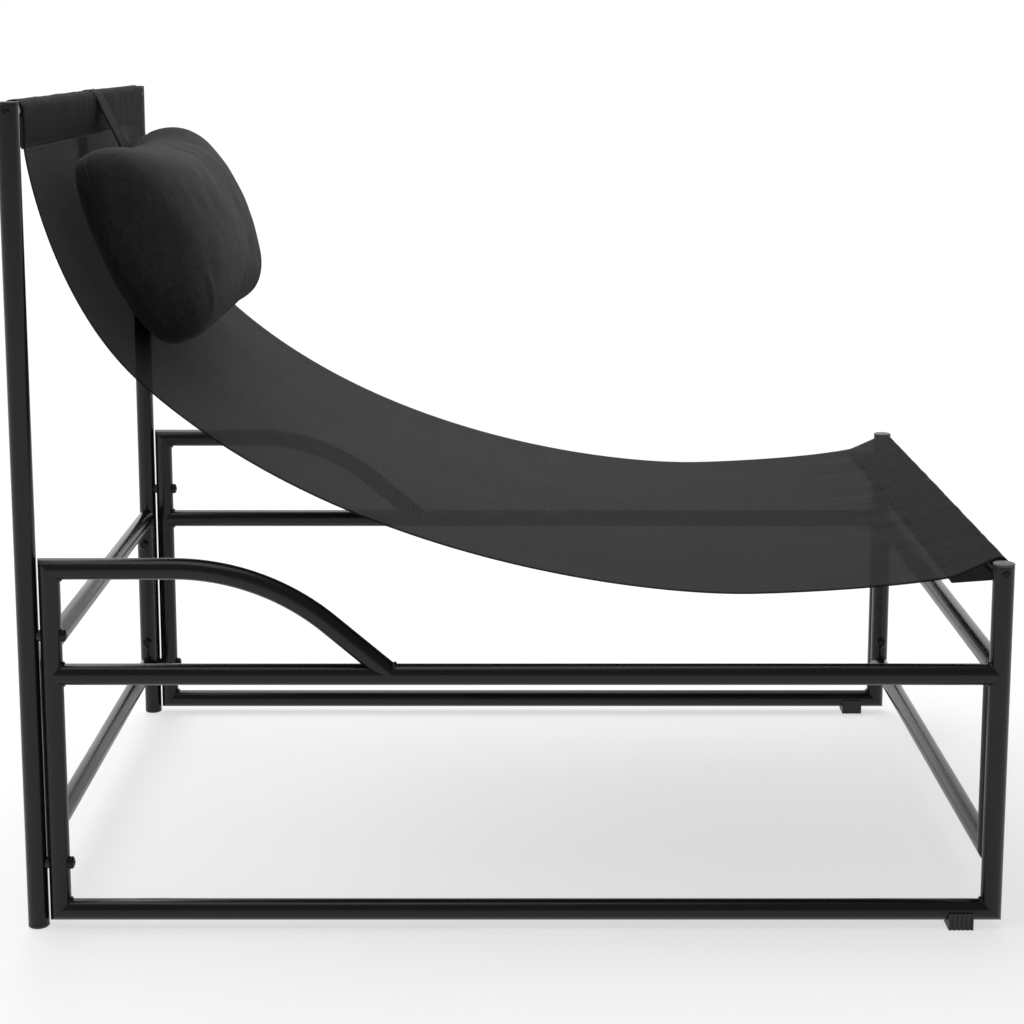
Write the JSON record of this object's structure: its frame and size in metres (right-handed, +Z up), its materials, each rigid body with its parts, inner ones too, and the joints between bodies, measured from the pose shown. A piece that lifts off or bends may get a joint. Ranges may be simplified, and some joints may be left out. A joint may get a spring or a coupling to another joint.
{
  "type": "reclining sun lounger",
  "caption": "Low garden lounger: welded tube side frames, bolted cross frames, a hanging fabric sling and a head pillow on a strap.",
  "frame": {"origin": "on the ground, at the middle of the object's length and width", "axes": "+X to the foot end, +Y to the sitter's left (the far side), +Z up"},
  "size_m": [1.017, 0.7268, 0.8557],
  "materials": {
    "frame_paint": "semi-gloss black powder coat on steel tube",
    "bolt_metal": "blackened steel",
    "insert_metal": "plain zinc-plated steel, hidden in the bar ends",
    "black_plastic": "moulded black plastic",
    "cap_plastic": "moulded dark grey plastic that catches the light",
    "sling_fabric": "dark grey mesh-woven outdoor fabric",
    "pillow_fabric": "dark grey soft outdoor cushion fabric",
    "strap_webbing": "dark grey woven strap"
  },
  "bodies": {
    "frame": {"armrest_left": "frame_paint", "armrest_right": "frame_paint", "bottom_rail_left": "frame_paint", "bottom_rail_right": "frame_paint", "front_bar_insert_left": "insert_metal", "front_bar_insert_right": "insert_metal", "front_bar_screw_left": "bolt_metal", "front_bar_screw_right": "bolt_metal", "front_cross_bar_high": "frame_paint", "front_cross_bar_low": "frame_paint", "front_cross_bolt_high_left": "bolt_metal", "front_cross_bolt_high_right": "bolt_metal", "front_cross_bolt_low_left": "bolt_metal", "front_cross_bolt_low_right": "bolt_metal", "front_cross_post_left": "frame_paint", "front_cross_post_right": "frame_paint", "front_foot_left": "black_plastic", "front_foot_right": "black_plastic", "front_post_cap_left": "cap_plastic", "front_post_cap_right": "cap_plastic", "front_post_left": "frame_paint", "front_post_right": "frame_paint", "front_sling_bar": "frame_paint", "leg_bolt_high_left": "bolt_metal", "leg_bolt_high_right": "bolt_metal", "leg_bolt_low_left": "bolt_metal", "leg_bolt_low_right": "bolt_metal", "leg_spacer_high_left": "black_plastic", "leg_spacer_high_right": "black_plastic", "leg_spacer_low_left": "black_plastic", "leg_spacer_low_right": "black_plastic", "mid_rail_left": "frame_paint", "mid_rail_right": "frame_paint", "rear_bar_insert_left": "insert_metal", "rear_bar_insert_right": "insert_metal", "rear_bar_screw_left": "bolt_metal", "rear_bar_screw_right": "bolt_metal", "rear_cross_bar_high": "frame_paint", "rear_cross_bar_low": "frame_paint", "rear_cross_bolt_high_left": "bolt_metal", "rear_cross_bolt_high_right": "bolt_metal", "rear_cross_bolt_low_left": "bolt_metal", "rear_cross_bolt_low_right": "bolt_metal", "rear_cross_post_left": "frame_paint", "rear_cross_post_right": "frame_paint", "rear_leg_left": "frame_paint", "rear_leg_right": "frame_paint", "rear_sling_bar": "frame_paint", "rear_upright_left": "frame_paint", "rear_upright_right": "frame_paint", "sling": "sling_fabric", "upright_cap_left": "black_plastic", "upright_cap_right": "black_plastic", "upright_plug_left": "black_plastic", "upright_plug_right": "black_plastic"},
    "strap": {"pillow_strap": "strap_webbing"},
    "pillow": {"pillow": "pillow_fabric"}
  },
  "joints": [
    {"name": "pillow_lift", "type": "slide", "parent": "frame", "child": "strap", "axis": [0, 0, 1], "range_m": [0, 0.2]},
    {"name": "pillow_swing", "type": "hinge", "parent": "strap", "child": "pillow", "pos_m": [-0.457, 0, 0.786], "axis": [0, -1, 0], "range_deg": [0, 60]}
  ]
}
